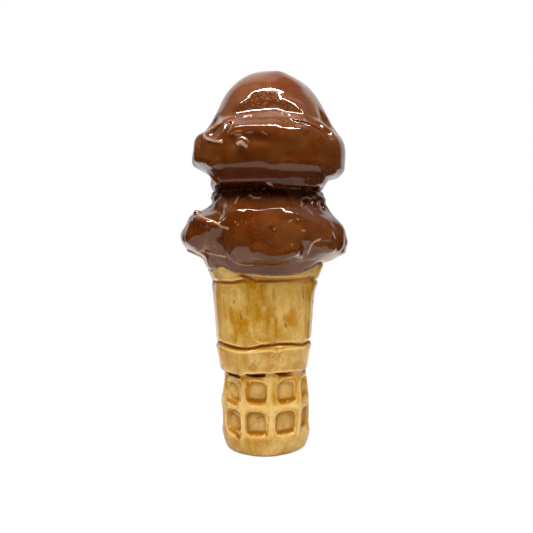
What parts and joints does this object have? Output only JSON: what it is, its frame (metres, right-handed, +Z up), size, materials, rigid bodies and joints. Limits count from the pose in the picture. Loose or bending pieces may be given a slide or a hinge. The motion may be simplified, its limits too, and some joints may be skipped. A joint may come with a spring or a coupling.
{
  "type": "ceramic double scoop chocolate ice cream cone",
  "caption": "Upright glazed ceramic copy of a double scoop chocolate ice cream in a flat-footed wafer cup with pressed waffle pockets.",
  "frame": {"origin": "centre of the foot's flat underside", "axes": "+Z up from the foot to the crown of the upper scoop; the side with the big front mound faces -Y, the upturned wing of the lower scoop points to -X"},
  "size_m": [0.0707, 0.0661, 0.1596],
  "materials": {
    "wafer_glaze": "gloss",
    "chocolate_glaze": "gloss"
  },
  "bodies": {
    "root": {"wafer_cup": "wafer_glaze", "lower_scoop": "chocolate_glaze", "upper_scoop": "chocolate_glaze"}
  },
  "joints": []
}
